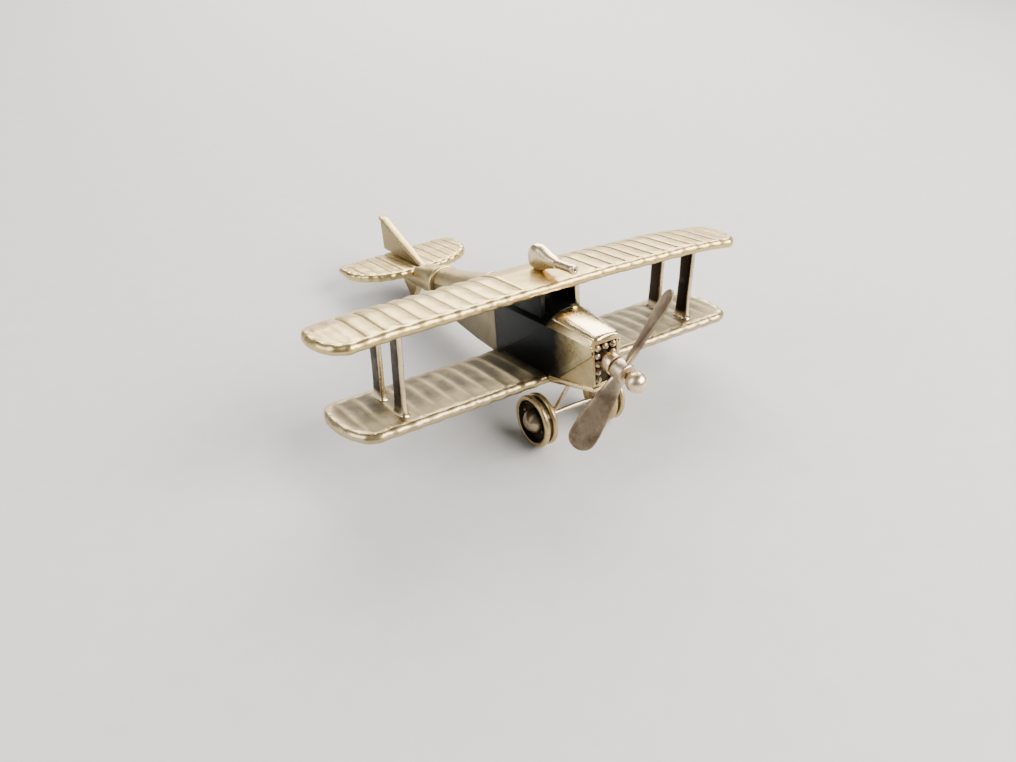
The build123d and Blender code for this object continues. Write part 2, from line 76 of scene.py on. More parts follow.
def level(place):
    """A place in the row frame, back in the aircraft's level frame."""
    x, y, z = (np.array(place) - SHIFT) * 1000
    c, s = math.cos(PITCH), math.sin(PITCH)
    return np.array((x, y * c - z * s, y * s + z * c))


# Materials: every one is worn metal. Colour follows a darkening share: tarnish in patches, painted shade
# in hollows and the painted shade that each mesh carries.


def node(tree, kind, **inputs):
    made = tree.nodes.new(kind)
    for name, value in inputs.items():
        made.inputs[name.replace("_", " ")].default_value = value
    return made


def remap(tree, source, low, high, to_low, to_high):
    """Clamped linear remapping of a value."""
    made = tree.nodes.new("ShaderNodeMapRange")
    for name, value in zip(("From Min", "From Max", "To Min", "To Max"), (low, high, to_low, to_high)):
        made.inputs[name].default_value = value
    tree.links.new(source, made.inputs["Value"])
    return made.outputs["Result"]


def blend(tree, mode, amount, first, second):
    """Mix of two colours, each a socket or a fixed colour."""
    made = tree.nodes.new("ShaderNodeMix")
    made.data_type = "RGBA"
    made.blend_type = mode
    for socket, value in ((0, amount), (6, first), (7, second)):
        if isinstance(value, bpy.types.NodeSocket):
            tree.links.new(value, made.inputs[socket])
        else:
            made.inputs[socket].default_value = value if socket == 0 else (*value, 1)
    return made.outputs[2]


def math_node(tree, operation, *values, clamp=False):
    made = tree.nodes.new("ShaderNodeMath")
    made.operation = operation
    made.use_clamp = clamp
    for socket, value in enumerate(values):
        if isinstance(value, bpy.types.NodeSocket):
            tree.links.new(value, made.inputs[socket])
        else:
            made.inputs[socket].default_value = value
    return made.outputs["Value"]


def noise_at(tree, place, scale, detail, roughness=0.5):
    """Noise that follows a place given by a socket."""
    texture = node(tree, "ShaderNodeTexNoise", Scale=scale, Detail=detail, Roughness=roughness)
    tree.links.new(place, texture.inputs["Vector"])
    return texture.outputs["Fac"]


def tarnish_and_shade_share(tree, place, patchy, edge, hollow_shade):
    """How dark the metal is: tarnish in patches, painted shade in hollows and the painted shade the mesh
    carries, less on rubbed edges.
    """
    form = node(tree, "ShaderNodeNewGeometry").outputs["Pointiness"]
    drawn = node(tree, "ShaderNodeAttribute")
    drawn.attribute_name = "tarnish_and_shade"
    patch = remap(tree, noise_at(tree, place, 380.0, 4.0, 0.6), 0.4, 0.7, 0.0, patchy)
    # Painted shade in the hollows that pointiness finds.
    painted_hollow_shade = remap(tree, form, 0.49, 0.43, 0.0, hollow_shade)
    darkening = math_node(tree, "ADD", math_node(tree, "ADD", patch, painted_hollow_shade), drawn.outputs["Fac"], clamp=True)
    rubbed = remap(tree, form, 0.52, 0.6, 0.0, edge)
    return math_node(tree, "MULTIPLY", darkening, math_node(tree, "SUBTRACT", 1.0, rubbed, clamp=True))


def metal(name, bright, tarnish_and_shade, patchy, gloss, bump=0.25, edge=0.5, hollow_shade=0.6):
    """Worn metal: bright colour, dark colour for tarnish and painted shade, how patchy it is, lowest and
    highest roughness.
    """
    material = bpy.data.materials.new(name)
    material.use_nodes = True
    tree = material.node_tree
    shader = tree.nodes["Principled BSDF"]
    shader.inputs["Metallic"].default_value = 1.0
    place = node(tree, "ShaderNodeTexCoord").outputs["Object"]
    mottle = noise_at(tree, place, 2600.0, 5.0, 0.65)
    brushed = node(tree, "ShaderNodeMapping", Scale=(700.0, 9000.0, 5000.0), Rotation=(0.2, 0.3, 0.5))
    tree.links.new(place, brushed.inputs["Vector"])
    scratches = noise_at(tree, brushed.outputs["Vector"], 1.0, 3.0)
    darkening = tarnish_and_shade_share(tree, place, patchy, edge, hollow_shade)
    colour = blend(tree, "MIX", darkening, bright, tarnish_and_shade)
    colour = blend(tree, "MULTIPLY", 1.0, colour, remap(tree, mottle, 0.25, 0.75, 0.8, 1.12))
    tree.links.new(colour, shader.inputs["Base Color"])
    dull = remap(tree, mottle, 0.3, 0.7, gloss[0], gloss[1])
    tree.links.new(math_node(tree, "MULTIPLY_ADD", darkening, 0.25, dull), shader.inputs["Roughness"])
    relief = node(tree, "ShaderNodeBump", Strength=bump, Distance=0.00003)
    tree.links.new(math_node(tree, "MULTIPLY_ADD", scratches, 0.5, mottle), relief.inputs["Height"])
    tree.links.new(relief.outputs["Normal"], shader.inputs["Normal"])
    return material


# Name, bright colour, dark colour for tarnish and painted shade, patchiness, roughness range, and how
# much the metal is roughened, rubbed bright on its edges and darkened with painted shade in its hollows
# where that differs.
SATIN = metal("satin_silver", (0.60, 0.455, 0.205), (0.03, 0.021, 0.012), 0.12, (0.28, 0.4))
WARM = metal("warm_satin", (0.56, 0.43, 0.22), (0.05, 0.037, 0.022), 0.3, (0.28, 0.43))
# A darker copy of the satin for the lower wing: painted shade of the upper wing over it.
LOWER_SHADED = metal("lower_satin_shaded", (0.50, 0.40, 0.22), (0.05, 0.043, 0.028), 0.15, (0.28, 0.42))
POLISHED = metal(
    "polished_silver", (0.82, 0.66, 0.38), (0.26, 0.19, 0.10), 0.05, (0.16, 0.28), 0.1, 0.5, 0.1
)
# Its near-black dark colour is painted shade on the body sides, cabane plates and forward deck.
SIDE = metal("side_silver", (0.60, 0.49, 0.26), (0.020, 0.022, 0.021), 0.3, (0.1, 0.22), 0.03, 0.0, 0.2)
AFT = metal("aft_silver", (0.27, 0.22, 0.14), (0.07, 0.055, 0.035), 0.4, (0.26, 0.4))
# Its near-black dark colour is painted shade on the flat sides of the struts.
STRIP = metal("strip_silver", (0.72, 0.58, 0.38), (0.03, 0.02, 0.012), 0.3, (0.16, 0.3), 0.15, 0.5, 0.1)
BROWN = metal("brown_silver", (0.66, 0.53, 0.36), (0.14, 0.10, 0.064), 0.4, (0.26, 0.38), 0.12, 0.0, 0.0)
BALL = metal("ball_silver", (0.80, 0.63, 0.41), (0.24, 0.155, 0.09), 0.5, (0.24, 0.36), 0.15, 0.5, 0.0)
CAP = metal("cap_silver", (0.46, 0.355, 0.22), (0.08, 0.055, 0.035), 0.6, (0.22, 0.36), 0.2, 0.5, 0.0)
GUN = metal("gun_silver", (0.84, 0.68, 0.42), (0.30, 0.22, 0.13), 0.25, (0.24, 0.32), 0.04, 0.0, 0.0)
WIRE = metal("wire", (0.62, 0.50, 0.35), (0.14, 0.10, 0.065), 0.5, (0.2, 0.34))


# Mesh helpers.


def wobbled(points, amount, size=2.2, seed=0.0):
    """Points moved a little by smooth noise, as hand-formed metal is. Size is that of the dents."""
    shape = points.shape
    flat = points.reshape(-1, 3)
    moved = [noise.noise_vector(Vector(p) / size + Vector((seed, seed, seed))) for p in flat]
    return (flat + amount * np.array(moved)).reshape(shape)


def add_piece(cad_node, data, material, body="airframe"):
    """A finished mesh in the row frame becomes the piece that stands for a CAD node."""
    piece = bpy.data.objects.new(cad_node + "_look", data)
    bpy.context.scene.collection.objects.link(piece)
    data.materials.append(material)
    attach(piece, body)
    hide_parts(cad_node)
    return piece


def mesh_from(cad_node, points, faces, sharp=50, tarnish_and_shade=None):
    """Smooth-shaded mesh from millimetre points, with its faces turned outwards."""
    data = bpy.data.meshes.new(cad_node + "_look")
    data.from_pydata(row(points).tolist(), [], faces)
    if tarnish_and_shade is not None:
        values = np.clip(np.ravel(tarnish_and_shade), 0, 1).astype(np.float32)
        data.attributes.new("tarnish_and_shade", "FLOAT", "POINT").data.foreach_set("value", values)
    form = bmesh.new()
    form.from_mesh(data)
    bmesh.ops.remove_doubles(form, verts=form.verts, dist=2e-7)
    bmesh.ops.dissolve_degenerate(form, edges=form.edges, dist=1e-8)
    bmesh.ops.recalc_face_normals(form, faces=form.faces)
    form.to_mesh(data)
    form.free()
    data.shade_smooth()
    data.set_sharp_from_angle(angle=math.radians(sharp))
    return data


def skin_faces(count, around, start=0, caps=True):
    """Faces of a tube through count closed sections of that many points each."""
    faces = []
    for i in range(count - 1):
        for j in range(around):
            k = (j + 1) % around
            a, b = start + i * around, start + (i + 1) * around
            faces.append((a + j, a + k, b + k, b + j))
    if caps:
        faces.append(tuple(range(start, start + around))[::-1])
        last = start + (count - 1) * around
        faces.append(tuple(range(last, last + around)))
    return faces


def skin(cad_node, sections, sharp=50, caps=True, tarnish_and_shade=None):
    """Mesh of a tube through closed sections."""
    sections = np.asarray(sections, float)
    faces = skin_faces(*sections.shape[:2], caps=caps)
    return mesh_from(cad_node, sections.reshape(-1, 3), faces, sharp, tarnish_and_shade)


def joined_skins(cad_node, tubes, caps, sharp=50, tarnish_and_shade=None):
    """Several tubes in one mesh, each with or without caps."""
    points, faces = [], []
    for sections, capped in zip(tubes, caps):
        faces += skin_faces(*sections.shape[:2], start=sum(len(p) for p in points), caps=capped)
        points.append(sections.reshape(-1, 3))
    return mesh_from(cad_node, np.concatenate(points), faces, sharp, tarnish_and_shade)


def ring(steps):
    """Cosines and sines of angles evenly spaced round a circle."""
    angles = np.linspace(0, 2 * math.pi, steps, endpoint=False)
    return np.cos(angles), np.sin(angles)


def blunted(values, power):
    """Values pushed towards 1 and -1, which squares off a circle."""
    return np.sign(values) * np.abs(values) ** power


def round_end(first, span, start, steps):
    """Stations over the last part of a shape, close together where it rounds off."""
    return first + span * np.sin(np.linspace(start, np.pi / 2, steps))


def revolved(profile, centre, axis, steps=72):
    """Sections of a turned shape: profile is (distance along the axis, radius) points."""
    axis = np.asarray(axis, float) / np.linalg.norm(axis)
    across = np.cross(axis, (0.0, 0.3, 1.0))
    across /= np.linalg.norm(across)
    c, s = ring(steps)
    circle = np.outer(c, across) + np.outer(s, np.cross(axis, across))
    return np.array([np.asarray(centre) + axis * along + radius * circle for along, radius in profile])


def rounded(points, radius, steps=4):
    """An open outline with each inner corner cut to a small arc."""
    points = [np.array(p, float) for p in points]
    out = [points[0]]
    for before, corner, after in zip(points, points[1:], points[2:]):
        one, two = before - corner, after - corner
        reach = min(radius, np.linalg.norm(one) * 0.45, np.linalg.norm(two) * 0.45)
        start = corner + one / np.linalg.norm(one) * reach
        end = corner + two / np.linalg.norm(two) * reach
        for t in np.linspace(0, 1, steps + 1):
            out.append((1 - t) ** 2 * start + 2 * t * (1 - t) * corner + t * t * end)
    out.append(points[-1])
    return np.array(out)


def eased(stations, steps):
    """Extra stations on a smooth curve through the given ones."""
    stations = np.array(stations, float)
    padded = np.vstack((2 * stations[0] - stations[1], stations, 2 * stations[-1] - stations[-2]))
    out = []
    for a, b, c, d in zip(padded, padded[1:], padded[2:], padded[3:]):
        square, cube = 2 * a - 5 * b + 4 * c - d, 3 * b - a - 3 * c + d
        for t in np.arange(steps) / steps:
            out.append(0.5 * (2 * b + (c - a) * t + square * t**2 + cube * t**3))
    return np.array(out + [stations[-1]])


def smooth_step(value, low, high):
    t = np.clip((value - low) / (high - low), 0, 1)
    return t * t * (3 - 2 * t)


BROKEN_EDGE = 0.00005  # metres


def bevelled_copy(cad_node, material, slot, tarnish_and_shade=None):
    """A CAD node whose edges are broken and whose faces are shaded smooth.

    The painted shade on these sheets is a function of the place in the level frame.
    """
    data = bpy.data.meshes.new(cad_node + "_look")
    form = bmesh.new()
    form.from_mesh(frame["nodes"][cad_node].data)
    bmesh.ops.remove_doubles(form, verts=form.verts, dist=1e-6)
    bmesh.ops.dissolve_limit(form, angle_limit=math.radians(0.6), verts=form.verts, edges=form.edges)
    hard = [e for e in form.edges if e.is_manifold and e.calc_face_angle(0) > math.radians(32)]
    broken = dict(offset=BROKEN_EDGE, segments=2, profile=0.5, affect="EDGES", clamp_overlap=True)
    bmesh.ops.bevel(form, geom=hard, **broken)
    bmesh.ops.recalc_face_normals(form, faces=form.faces)
    form.to_mesh(data)
    form.free()
    data.shade_smooth()
    data.set_sharp_from_angle(angle=math.radians(40))
    if tarnish_and_shade is not None:
        values = [tarnish_and_shade(level(vertex.co)) for vertex in data.vertices]
        data.attributes.new("tarnish_and_shade", "FLOAT", "POINT").data.foreach_set("value", values)
    return add_piece(cad_node, data, material)


# Wings and tailplane: ribbed sheets with a rolled bead along the front and round the tips.


def droop_at(x, droop):
    places, hangs = zip(*droop)
    return np.interp(x, places, hangs)


def edge_distance(x, y, outline):
    """Distance of each point from an outline, and how far along the outline the nearest place is."""
    best = np.full(x.shape, 1e9)
    along = np.zeros(x.shape)
    passed = 0.0
    for (ax, ay), (bx, by) in zip(outline, outline[1:]):
        dx, dy = bx - ax, by - ay
        length = math.hypot(dx, dy)
        t = np.clip(((x - ax) * dx + (y - ay) * dy) / max(length**2, 1e-12), 0, 1)
        away = np.hypot(x - ax - t * dx, y - ay - t * dy)
        along = np.where(away < best, passed + t * length, along)
        best = np.minimum(best, away)
        passed += length
    return best, along - passed / 2


def sheet_columns(form):
    """Places along the span, close together at the grooves and round the tips."""
    half = form["half"]
    near = (-0.5, -0.24, -0.12, -0.05, 0, 0.05, 0.12, 0.24, 0.5)
    columns = [sign * rib + step for rib in form["ribs"] for sign in (-1, 1) for step in near]
    columns += list(np.linspace(-half * 0.97, half * 0.97, 90))
    tip = [half * 0.88 + half * 0.12 * math.sin(a) for a in np.linspace(0, math.pi / 2, 18)]
    columns += tip + [-x for x in tip]
    return np.unique(np.round([x for x in columns if abs(x) <= half], 3))


def chord_shares():
    """Places along the chord, from 0 in front to 1 at the back, close together at both edges."""
    share = 0.5 - 0.5 * np.cos(np.pi * np.linspace(0, 1, 58))
    share = 0.5 * share + 0.5 * np.linspace(0, 1, 58)
    return 0.35 * (0.5 - 0.5 * np.cos(np.pi * share)) + 0.65 * share


def bead_line(form):
    """The line that the bead follows: along the front edge and round both tips."""
    half, front, back = form["half"], form["front"], form["back"]
    ends = half * np.sin(np.linspace(-math.pi / 2, math.pi / 2, 160))
    corner = half - half * 0.25 * (1 - np.sin(np.linspace(0, math.pi / 2, 30)))
    line = list(zip(-corner, back(corner))) + list(zip(ends, front(np.abs(ends))))
    return line + list(zip(corner[::-1], back(corner[::-1])))


def sheet_places(form):
    """What a sheet's heights and tarnish depend on, at each point of its grid."""
    at = SimpleNamespace()
    columns = sheet_columns(form)
    front, back = form["front"](np.abs(columns)), form["back"](np.abs(columns))
    at.x, at.t = np.meshgrid(columns, chord_shares(), indexing="ij")
    at.y = front[:, None] + (back - front)[:, None] * at.t
    at.distance, at.along = edge_distance(at.x, at.y, bead_line(form))
    at.local = np.clip((at.y - form["front"](0.0)) / form["chord"], 0, 1)
    at.ribs = np.array([sign * rib for rib in form["ribs"] for sign in (-1, 1)])
    first = form["ribs"][0]
    at.ribbed = smooth_step(np.abs(at.x), first - 0.3, first + 0.1)
    at.panel = 0.5 - 0.5 * np.cos(2 * np.pi * (np.abs(at.x) - first) / RIB_PITCH)
    at.ridge = (1 - at.panel) ** 2
    at.flatter = 1 - 0.6 * smooth_step(at.x, -1, 1)
    beat = np.sin(2 * np.pi * at.along / 37.0) * 0.8 + np.sin(2 * np.pi * at.along / 11.3) * 0.5
    at.lump = 0.08 * np.cos(2 * np.pi * at.along / form["lumps"] + beat)
    return at


def near_ribs(at, width, power):
    """1 at each rib, falling to 0 within the width."""
    return np.exp(-(((at.x[..., None] - at.ribs) / width) ** power)).sum(-1)


def sheet_top(form, at):
    """Height of the upper face: cambered panels, pressed grooves and the bead in front of them."""
    crown, bead, edge_z = form["crown"], form["bead"], form["edge_z"]
    inset = smooth_step(at.distance, 0.5, 1.3)
    fall = np.clip((at.local - 0.62) / 0.38, 0, 1) ** 1.7
    top = crown - (crown - form["back_z"] - 0.3) * fall
    top = top - form["relief"] * at.flatter * (1 - at.panel) * at.ribbed * inset
    top = top - form["valley"] * (1 - at.ridge) * at.ribbed * inset
    pressed = form["groove_depth"] * smooth_step(at.distance, bead * 0.9, bead * 1.8)
    top = top - pressed * near_ribs(at, form["groove"], 2)
    behind_bead = np.exp(-(((at.distance - bead * 1.35) / 0.2) ** 2))
    top = top - 0.035 * behind_bead * (1 - smooth_step(at.local, 0.7, 0.9))
    roll = np.clip(at.distance / bead, 0, 1)
    height = (crown - edge_z) * (0.93 - at.lump)
    round_edge = edge_z + height * np.sqrt(1 - (1 - roll) ** 2)
    return np.minimum(top, round_edge + 0.2 * smooth_step(at.distance, bead, 2 * bead))


def sheet_bottom(form, at, top):
    """Height of the lower face: turned down behind the bead, flat further back."""
    edge_z = form["edge_z"]
    rise = smooth_step(at.distance, 0.42, 1.15)
    roll = np.clip(at.distance / 0.42, 0, 1)
    lip = edge_z * (1 - np.sqrt(1 - (1 - roll) ** 2))
    lip = lip + form["under"] * rise + form["lip_z"] * (1 - rise)
    under = form["under"] - (form["under"] - form["back_z"]) * np.clip((at.local - 0.8) / 0.2, 0, 1)
    closed = (1 - smooth_step(at.distance, 0, 0.5)) * (1 - smooth_step(at.local, 0.9, 1))
    plain = under - (under - edge_z + 0.08) * closed
    weight = 1 - smooth_step(at.local, 0.5, 0.85)
    return np.minimum(weight * lip + (1 - weight) * plain, top - 0.02)


def sheet_painted_shade(form, at):
    """Painted shade on the upper face, then on the lower one."""
    bead = form["bead"]
    fore = smooth_step(at.local, 0.1, 0.42) * (1 - smooth_step(at.local, 0.86, 0.98))
    # Painted shade in the grooves, wider and stronger where X is positive.
    lined = near_ribs(at, form["groove"] + 0.06 * (at.x[..., None] > 0), 4) * at.ribbed
    behind = smooth_step(at.distance, bead * 0.8, bead * 1.6)
    darkening = form["line"] * (1.65 - at.flatter) * lined * behind
    # Painted shade in the crease behind the bead.
    behind_bead = np.exp(-(((at.distance - bead * 1.4) / 0.2) ** 2))
    darkening += form["bead_crease_shade"] * behind_bead * (1 - smooth_step(at.local, 0.7, 0.9))
    # Painted shade over the whole sheet inside the bead.
    darkening += form["inner_shade"] * smooth_step(at.distance, bead * 0.9, bead * 1.8)
    # Painted shade in the hollows between the ribs, over the middle of the chord.
    darkening += form["shade"] * (1 - at.ridge) * at.ribbed * fore * smooth_step(at.distance, 0.7, 1.8)
    # Painted shade next to the body.
    darkening += form["root_shade"] * (1 - smooth_step(np.abs(at.x), 3.5, 11.0)) * fore
    # Painted shade on the lower face, inside its edge.
    under = form["under_shade"] * smooth_step(at.distance, 0.15, 0.6)
    return np.concatenate((darkening.ravel(), under.ravel()))


def sheet_faces(rows, cols):
    """Faces of two grids, one over the other, closed round the rim."""
    index = np.arange(rows * cols).reshape(rows, cols)
    faces = []
    for i in range(rows - 1):
        for j in range(cols - 1):
            a, b, c, d = index[i, j], index[i, j + 1], index[i + 1, j + 1], index[i + 1, j]
            faces.append((a, b, c, d))
            faces.append(tuple(v + rows * cols for v in (d, c, b, a)))
    rim = list(index[:, 0]) + list(index[-1, 1:]) + list(index[-2::-1, -1]) + list(index[0, -2:0:-1])
    for a, b in zip(rim, rim[1:] + rim[:1]):
        faces.append((a, b, b + rows * cols, a + rows * cols))
    return [tuple(int(v) for v in face) for face in faces]


def sheet_piece(cad_node, form, place, material, seed):
    """A ribbed sheet from a dict of its outline, ribs and heights, put in its place."""
    at = sheet_places(form)
    top = sheet_top(form, at)
    bottom = sheet_bottom(form, at, top)
    bulge = 0.9 * at.lump * (1 - smooth_step(at.distance, 0, 1.0)) * (1 - at.t) ** 3
    push = bulge - 0.12 * near_ribs(at, 0.3, 2) * at.ribbed * at.t**10
    hang = droop_at(at.x, form["droop"])
    over = wobbled(np.stack((at.x, at.y + push, top - hang), -1), 0.03, 1.6, seed)
    below = wobbled(np.stack((at.x, at.y + push, bottom - hang), -1), 0.03, 1.6, seed)
    over[..., 2] = np.minimum(over[..., 2], form["limit"])
    points = np.concatenate((over.reshape(-1, 3), below.reshape(-1, 3)))
    data = mesh_from(cad_node, place(points), sheet_faces(*at.x.shape), 60, sheet_painted_shade(form, at))
    return add_piece(cad_node, data, material)


# A sheet is described by its outline (half, chord, front, back), its ribs, the pitch of the lumps on its
# bead, its heights in millimetres, and shares of painted shade: in the grooves (line), behind the bead
# (bead_crease_shade), all over (inner_shade), between the ribs (shade), next to the body (root_shade)
# and underneath (under_shade).
PLAIN_SHEET = dict(
    groove_depth=0.0,
    relief=0.0,
    valley=0.0,
    line=0.0,
    bead_crease_shade=0.0,
    inner_shade=0.0,
    shade=0.0,
    root_shade=0.0,
    under_shade=0.8,
)
TIP_REACH = 2.8
TIP_CORNER = 0.56
LOWER_WING = np.array((0, -0.15, -10.0))
UPPER_DROOP = (  # place along the span and how far the sheet hangs there
    (-27.0, 0.3),
    (-24.5, 0.2),
    (-20.0, 0.0),
    (6.0, 0.0),
    (12.0, 0.2),
    (18.0, 0.38),
    (22.0, 0.7),
    (24.5, 1.0),
    (27.0, 1.2),
)


def wing_form(half, chord, first_rib):
    """What both wings share: an even chord, round tips and ten ribs on each side."""
    straight, corner = half - TIP_REACH, TIP_CORNER * chord

    def curve(x):
        return np.sqrt(1 - np.clip((np.asarray(x, float) - straight) / TIP_REACH, 0, 1) ** 2)

    outline = dict(
        half=half,
        chord=chord,
        front=lambda x: corner * (1 - curve(x)),
        back=lambda x: corner + (chord - corner) * curve(x),
        ribs=[first_rib + RIB_PITCH * k for k in range(10)],
        lumps=RIB_PITCH,
    )
    heights = dict(crown=1.14, limit=1.2, under=0.75, bead=0.6, edge_z=0.5, lip_z=0.03, back_z=0.2)
    return PLAIN_SHEET | outline | heights


def upper_wing():
    """Panels that bulge between fine grooves, which are drawn dark with painted shade."""
    form = wing_form(26.95, 9.05, 4.9) | dict(groove=0.12, groove_depth=0.06, relief=0.11)
    form |= dict(line=0.95, bead_crease_shade=0.06, droop=UPPER_DROOP)
    sheet_piece("upper_wing", form, lambda p: p, SATIN, 3.0)


def lower_wing():
    """Bright ridges with painted shade between them, over the sheet inside the bead and next to the
    body.
    """
    form = wing_form(25.65, 10.95, 4.0) | dict(groove=0.2, valley=0.12)
    form |= dict(inner_shade=0.6, shade=0.3, root_shade=0.1, droop=((-26, 0), (26, 0)))
    sheet_piece("lower_wing", form, lambda p: p + LOWER_WING, LOWER_SHADED, 11.0)


TAILPLANE_TILT = math.radians(2.0)
TAILPLANE_OFFSET = 0.35
TAILPLANE_TOP = -5.0
TAILPLANE_RIB_PITCH = 1.5


def on_tail(points):
    """The tailplane is soldered on a little tilted and a little to the left."""
    c, s = math.cos(TAILPLANE_TILT), math.sin(TAILPLANE_TILT)
    x, y, z = points[..., 0], points[..., 1], points[..., 2]
    return np.stack((x * c - z * s + TAILPLANE_OFFSET, y, TAILPLANE_TOP + x * s + z * c), -1)


def tailplane():
    """Half-moon sheet with its curved edge in front."""
    half, tip_y, front_y, back_y, corner = 9.05, 38.6, 32.35, 42.15, 1.5

    def front(x):
        share = np.clip(np.asarray(x, float) / half, 0, 1)
        return tip_y - (tip_y - front_y) * (1 - share**2.6) ** 0.55

    def back(x):
        past = np.clip(np.asarray(x, float) - (half - corner), 0, corner)
        return back_y - corner + np.sqrt(corner**2 - past**2)

    ribs = [TAILPLANE_RIB_PITCH * k for k in range(1, 6)]
    outline = dict(half=half, chord=back_y - front_y, front=front, back=back, ribs=ribs)
    heights = dict(crown=-0.02, limit=0.0, under=-0.5, bead=0.5, edge_z=-0.5, lip_z=-0.5, back_z=-0.5)
    pressed = dict(lumps=TAILPLANE_RIB_PITCH, groove=0.09, groove_depth=0.07, relief=0.06)
    darkening = dict(line=0.5, bead_crease_shade=0.1, droop=((-10, 0), (10, 0)))
    sheet_piece("tailplane", PLAIN_SHEET | outline | heights | pressed | darkening, on_tail, SATIN, 7.0)


# Struts, cabane and body.


STRUT_X = 19.15
STRUT_RAKE = 1.15
STRUT_FOOT_Z = -9.08
STRUT_HEAD_Z = 0.78


def strut(cad_node, foot_y, sign):
    """Flat strip with round edges, puddled with solder at both ends; painted shade darkens its flat
    sides and leaves the edges bright as painted highlights.
    """
    hang = droop_at(sign * STRUT_X, UPPER_DROOP)
    foot = np.array((sign * STRUT_X, foot_y, STRUT_FOOT_Z))
    head = np.array((sign * STRUT_X, foot_y - STRUT_RAKE, STRUT_HEAD_Z - hang))
    c, s = ring(40)
    across, along = 0.33 * blunted(c, 0.5), 0.99 * blunted(s, 0.6)
    near_foot = 0.09 * np.linspace(0, 1, 14) ** 1.5
    sections, tarnish_and_shade = [], []
    for t in np.concatenate((near_foot, np.linspace(0.12, 0.9, 14), np.linspace(0.93, 1, 5))):
        puddle = 0.4 * math.exp(-t * 24) + 0.15 * math.exp(-(1 - t) * 50)
        loop = np.stack((across + puddle * c, along + puddle * s, 0 * c), -1)
        sections.append(foot + (head - foot) * t + loop)
        # Painted shade on the flat sides, none on the edges or at the foot.
        tarnish_and_shade.append(smooth_step(np.abs(c), 0.5, 0.85) * 0.95 * smooth_step(t, 0.05, 0.13))
    sections = wobbled(np.array(sections), 0.05, 2.5, foot_y + sign)
    add_piece(cad_node, skin(cad_node, sections, sharp=70, tarnish_and_shade=tarnish_and_shade), STRIP)


def struts():
    for side, sign in SIDES:
        strut("strut_front_" + side, 2.7, sign)
        strut("strut_rear_" + side, 7.6, sign)


def hood():
    """Rounded engine cap: a half-round arch, square against the deck behind it and blunt in front."""
    back_y, front_y = -0.42, -6.88
    angles = np.linspace(0, math.pi, 29)
    sections = []
    for t in np.concatenate((np.linspace(0, 0.93, 14), round_end(0.93, 0.07, 0.2, 8))):
        y = back_y + (front_y - back_y) * t
        end = 0.25 + 0.75 * math.sqrt(max(0.0, 1 - max(0.0, (t - 0.93) / 0.07) ** 2))
        seat = -2.65 - 0.6 * (back_y - y) / 6.1
        half = (2.15 - 0.55 * t) * (0.55 + 0.45 * end)
        rise = (0.7 - 0.3 * t) * 1.1 * end
        sections.append([(half * math.cos(a), y, seat + rise * math.sin(a) ** 0.8) for a in angles])
    sections = wobbled(np.array(sections), 0.03, 2.0, 5.0)
    add_piece("engine_hood", skin("engine_hood", sections), POLISHED)


BEAD_RADIUS = 0.4
BEAD_X = 1.0
BEAD_Y = -6.29
BEAD_ROWS = (-4.3, -5.18, -6.06, -6.94, -7.78)


def beads():
    """Solder beads round the recessed front face, none quite like the next."""
    places = [(side * BEAD_X, z) for side in (-1, 1) for z in BEAD_ROWS] + [(0.0, BEAD_ROWS[0])]
    tubes = []
    for index, (x, z) in enumerate(places):
        radius = BEAD_RADIUS + 0.015 * math.sin(5.1 * index)
        profile = [(-radius * math.cos(a), radius * math.sin(a)) for a in np.linspace(0.08, 2.2, 12)]
        tubes.append(wobbled(revolved(profile, (x, BEAD_Y, z), (0, 1, 0), 24), 0.04, 0.6, index))
    data = joined_skins("front_beads", tubes, [True] * len(tubes))
    add_piece("front_beads", data, WIRE)


# Propeller, in the hub's own frame: the shaft along Y and the first blade along Z.


def on_shaft(points):
    c, s = math.cos(PROP_DROOP), math.sin(PROP_DROOP)
    x, y, z = points[..., 0], points[..., 1], points[..., 2]
    return np.stack((x, y * c - z * s, y * s + z * c), -1) + HUB


BLADE_RADII = np.array((0.5, 2.6, 5.2, 7.4, 8.7, 9.38))
BLADE_THICKNESS = np.array((0.8, 0.66, 0.54, 0.46, 0.4, 0.26))
BLADE_PITCH = np.radians((50.0, 52.0, 55.0, 58.0, 58.0, 58.0))
BLADE_WIDTH = ((0.5, 2.6, 5.2, 7.0, 7.9), (1.3, 1.9, 2.7, 3.0, 3.0))  # radii, then widths
BLADE_TIP = 7.6 + 1.78 * np.sin(np.linspace(0.12, 1.57, 14))
BLADE_STATIONS = np.concatenate((np.linspace(0.5, 7.6, 22), BLADE_TIP))
BLADE_LOOP = 30


def blade(angle):
    """Twisted blade of lens-shaped sections with a round tip."""
    c, s = ring(BLADE_LOOP)
    sections = []
    for r in BLADE_STATIONS:
        width = np.interp(r, *BLADE_WIDTH) * math.sqrt(max(0.01, 1 - max(0.0, (r - 7.7) / 1.7) ** 2.6))
        pitch = np.interp(r, BLADE_RADII, BLADE_PITCH)
        u, v = width / 2 * c, np.interp(r, BLADE_RADII, BLADE_THICKNESS) / 2 * blunted(s, 0.8)
        x, y = u * math.cos(pitch) - v * math.sin(pitch), u * math.sin(pitch) + v * math.cos(pitch)
        sections.append(np.column_stack((x, y, np.full(BLADE_LOOP, r))))
    x, y, z = np.moveaxis(np.array(sections), -1, 0)
    c, s = math.cos(angle), math.sin(angle)
    return wobbled(on_shaft(np.stack((x * c + z * s, y, z * c - x * s), -1)), 0.025, 1.8, angle)


def blade_darkening_and_edge_highlight():
    """A blade darkens away from the hub, and its edges are left brighter as a painted highlight."""
    across = 0.5 + 0.25 * (np.abs(ring(BLADE_LOOP)[0]) < 0.92)
    return np.outer(smooth_step(BLADE_STATIONS, 0.9, 3.0), across).ravel()


